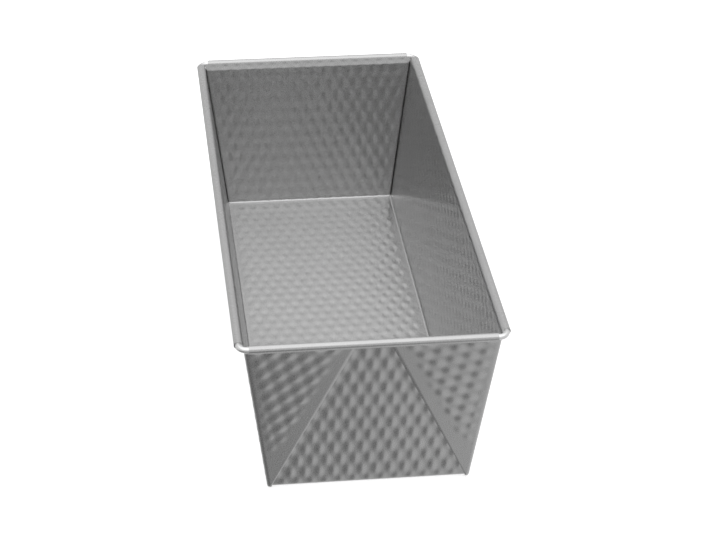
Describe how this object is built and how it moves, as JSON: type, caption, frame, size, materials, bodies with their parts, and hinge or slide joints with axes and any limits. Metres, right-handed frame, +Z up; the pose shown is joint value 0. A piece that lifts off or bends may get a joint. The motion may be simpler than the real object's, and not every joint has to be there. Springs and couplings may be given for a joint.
{
  "type": "loaf pan",
  "caption": "Open tapered loaf pan folded from one dimpled steel sheet, with double corner ears on its ends and a rolled rim over a bare-cornered wire ring.",
  "frame": {"origin": "centre of the underside of the floor, where the pan rests", "axes": "+Z up out of the pan, +Y along its length, +X across its width"},
  "size_m": [0.1234, 0.3, 0.0841],
  "materials": {
    "tinned_sheet": "dimpled tinned steel sheet, soft satin shine, light grey",
    "bright_wire": "drawn and tinned steel wire, bright, smooth"
  },
  "bodies": {
    "root": {"pan_body": "tinned_sheet", "rim_wire": "bright_wire"}
  },
  "joints": []
}
